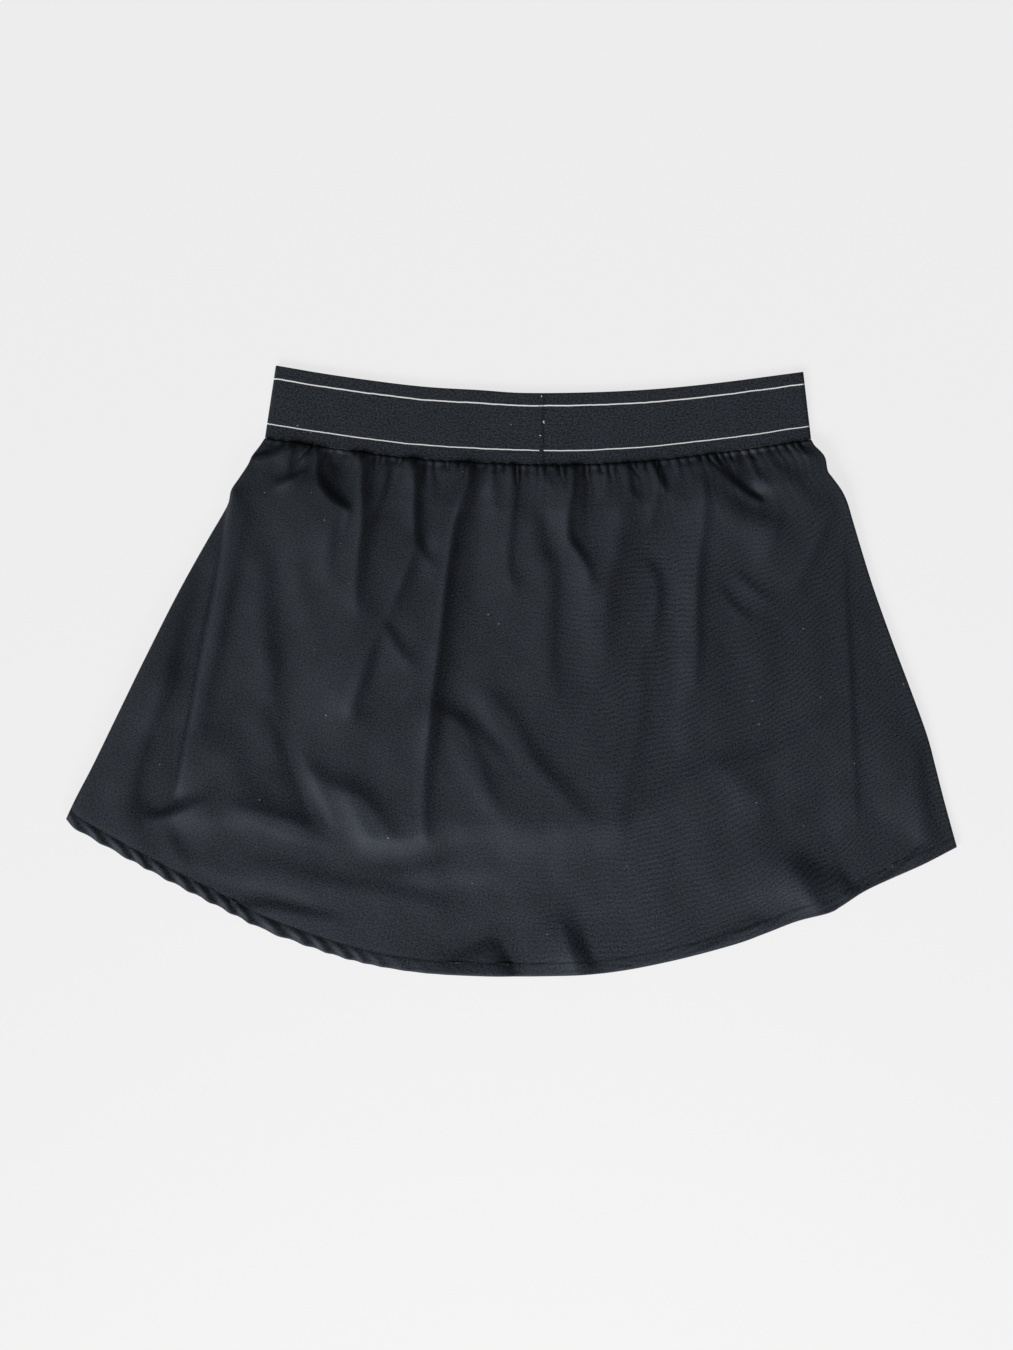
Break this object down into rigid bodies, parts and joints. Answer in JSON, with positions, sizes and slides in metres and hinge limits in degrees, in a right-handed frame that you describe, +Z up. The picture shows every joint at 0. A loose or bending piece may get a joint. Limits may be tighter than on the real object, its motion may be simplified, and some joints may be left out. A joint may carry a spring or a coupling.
{
  "type": "athletic skirt",
  "caption": "Athletic skirt laid flat on a surface: wide striped elastic waistband, gathered woven cloth, flared sides and a curved turned hem.",
  "frame": {"origin": "middle of the bottom of the skirt's box, on the surface that the skirt lies on", "axes": "+Z up, away from the surface; +Y from hem to waist; +X to the right as seen from above with the waist at the far side"},
  "size_m": [0.5616, 0.3848, 0.0166],
  "materials": {
    "cloth": "matt black woven polyester with a faint sheen",
    "elastic": "matt black ribbed elastic with thin white woven stripes"
  },
  "bodies": {
    "root": {"back_panel": "cloth", "front_panel": "cloth", "waistband": "elastic"}
  },
  "joints": []
}
